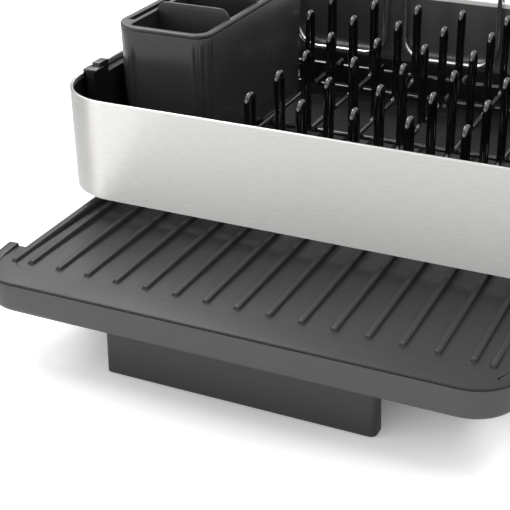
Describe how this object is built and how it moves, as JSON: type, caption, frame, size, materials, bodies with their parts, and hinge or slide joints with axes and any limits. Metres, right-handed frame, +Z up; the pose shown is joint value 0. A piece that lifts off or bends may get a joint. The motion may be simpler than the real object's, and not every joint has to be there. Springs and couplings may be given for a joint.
{
  "type": "expandable dish rack",
  "caption": "Counter-top dish rack: a steel band round a wire rack with prongs, a cutlery caddy and a ribbed tray that slides out in front.",
  "frame": {"origin": "on the counter, at the middle of the footprint with the tray pulled out", "axes": "+X to the right along the front, +Y from the tray to the back wall, +Z up from the counter"},
  "size_m": [0.3572, 0.436, 0.1735],
  "materials": {
    "band_steel": "brushed along the band",
    "bright_rod": "polished",
    "screw_steel": "plain",
    "coated_wire": "glossy black coating",
    "tray_plastic": "fine matte",
    "shell_plastic": "satin",
    "foot_plastic": "fine matte",
    "base_plastic": "satin",
    "caddy_plastic": "satin",
    "liner_plastic": "satin",
    "rubber": "soft matte"
  },
  "bodies": {
    "base": {"steel_band": "band_steel", "side_wall_left": "base_plastic", "side_wall_right": "base_plastic", "leg_front_left": "base_plastic", "leg_front_right": "base_plastic", "leg_rear_left": "base_plastic", "leg_rear_right": "base_plastic", "rubber_feet": "rubber", "beam_screws": "screw_steel", "cross_beam_front": "base_plastic", "cross_beam_rear": "base_plastic", "slide_channel_left": "tray_plastic", "slide_channel_right": "tray_plastic", "drip_tray": "tray_plastic", "rear_ledge": "base_plastic", "ledge_screws": "screw_steel"},
    "draining_tray": {"tray_insert": "tray_plastic", "tray_stops": "tray_plastic", "tray_shell": "shell_plastic", "tray_foot": "foot_plastic", "foot_pads": "rubber", "foot_screws": "screw_steel"},
    "wire_rack": {"frame_wire": "coated_wire", "cross_wire_1": "coated_wire", "cross_wire_2": "coated_wire", "cross_wire_3": "coated_wire", "prong_wire_1": "coated_wire", "prong_wire_2": "coated_wire", "prong_wire_3": "coated_wire", "prong_wire_4": "coated_wire", "prong_wire_5": "coated_wire", "prong_wire_6": "coated_wire", "prong_wire_7": "coated_wire", "rack_pads": "base_plastic"},
    "caddy": {"caddy_tub": "caddy_plastic"},
    "caddy_liner": {"caddy_insert": "liner_plastic", "caddy_divider_front": "liner_plastic", "caddy_divider_rear": "liner_plastic"},
    "loop_left": {"rod_loop_1": "bright_rod"},
    "loop_middle": {"rod_loop_2": "bright_rod"},
    "loop_right": {"rod_loop_3": "bright_rod"}
  },
  "joints": [
    {"name": "tray_slide", "type": "slide", "parent": "base", "child": "draining_tray", "axis": [0, 1, 0], "range_m": [0, 0.109]},
    {"name": "rack_lift", "type": "slide", "parent": "base", "child": "wire_rack", "axis": [0, 0, 1], "range_m": [0, 0.1]},
    {"name": "caddy_lift", "type": "slide", "parent": "wire_rack", "child": "caddy", "axis": [0, 0, 1], "range_m": [0, 0.1]},
    {"name": "liner_lift", "type": "slide", "parent": "caddy", "child": "caddy_liner", "axis": [0, 0, 1], "range_m": [0, 0.08]},
    {"name": "loop_left_lift", "type": "slide", "parent": "base", "child": "loop_left", "axis": [0, 0, 1], "range_m": [0, 0.07]},
    {"name": "loop_middle_lift", "type": "slide", "parent": "base", "child": "loop_middle", "axis": [0, 0, 1], "range_m": [0, 0.07]},
    {"name": "loop_right_lift", "type": "slide", "parent": "base", "child": "loop_right", "axis": [0, 0, 1], "range_m": [0, 0.07]}
  ]
}
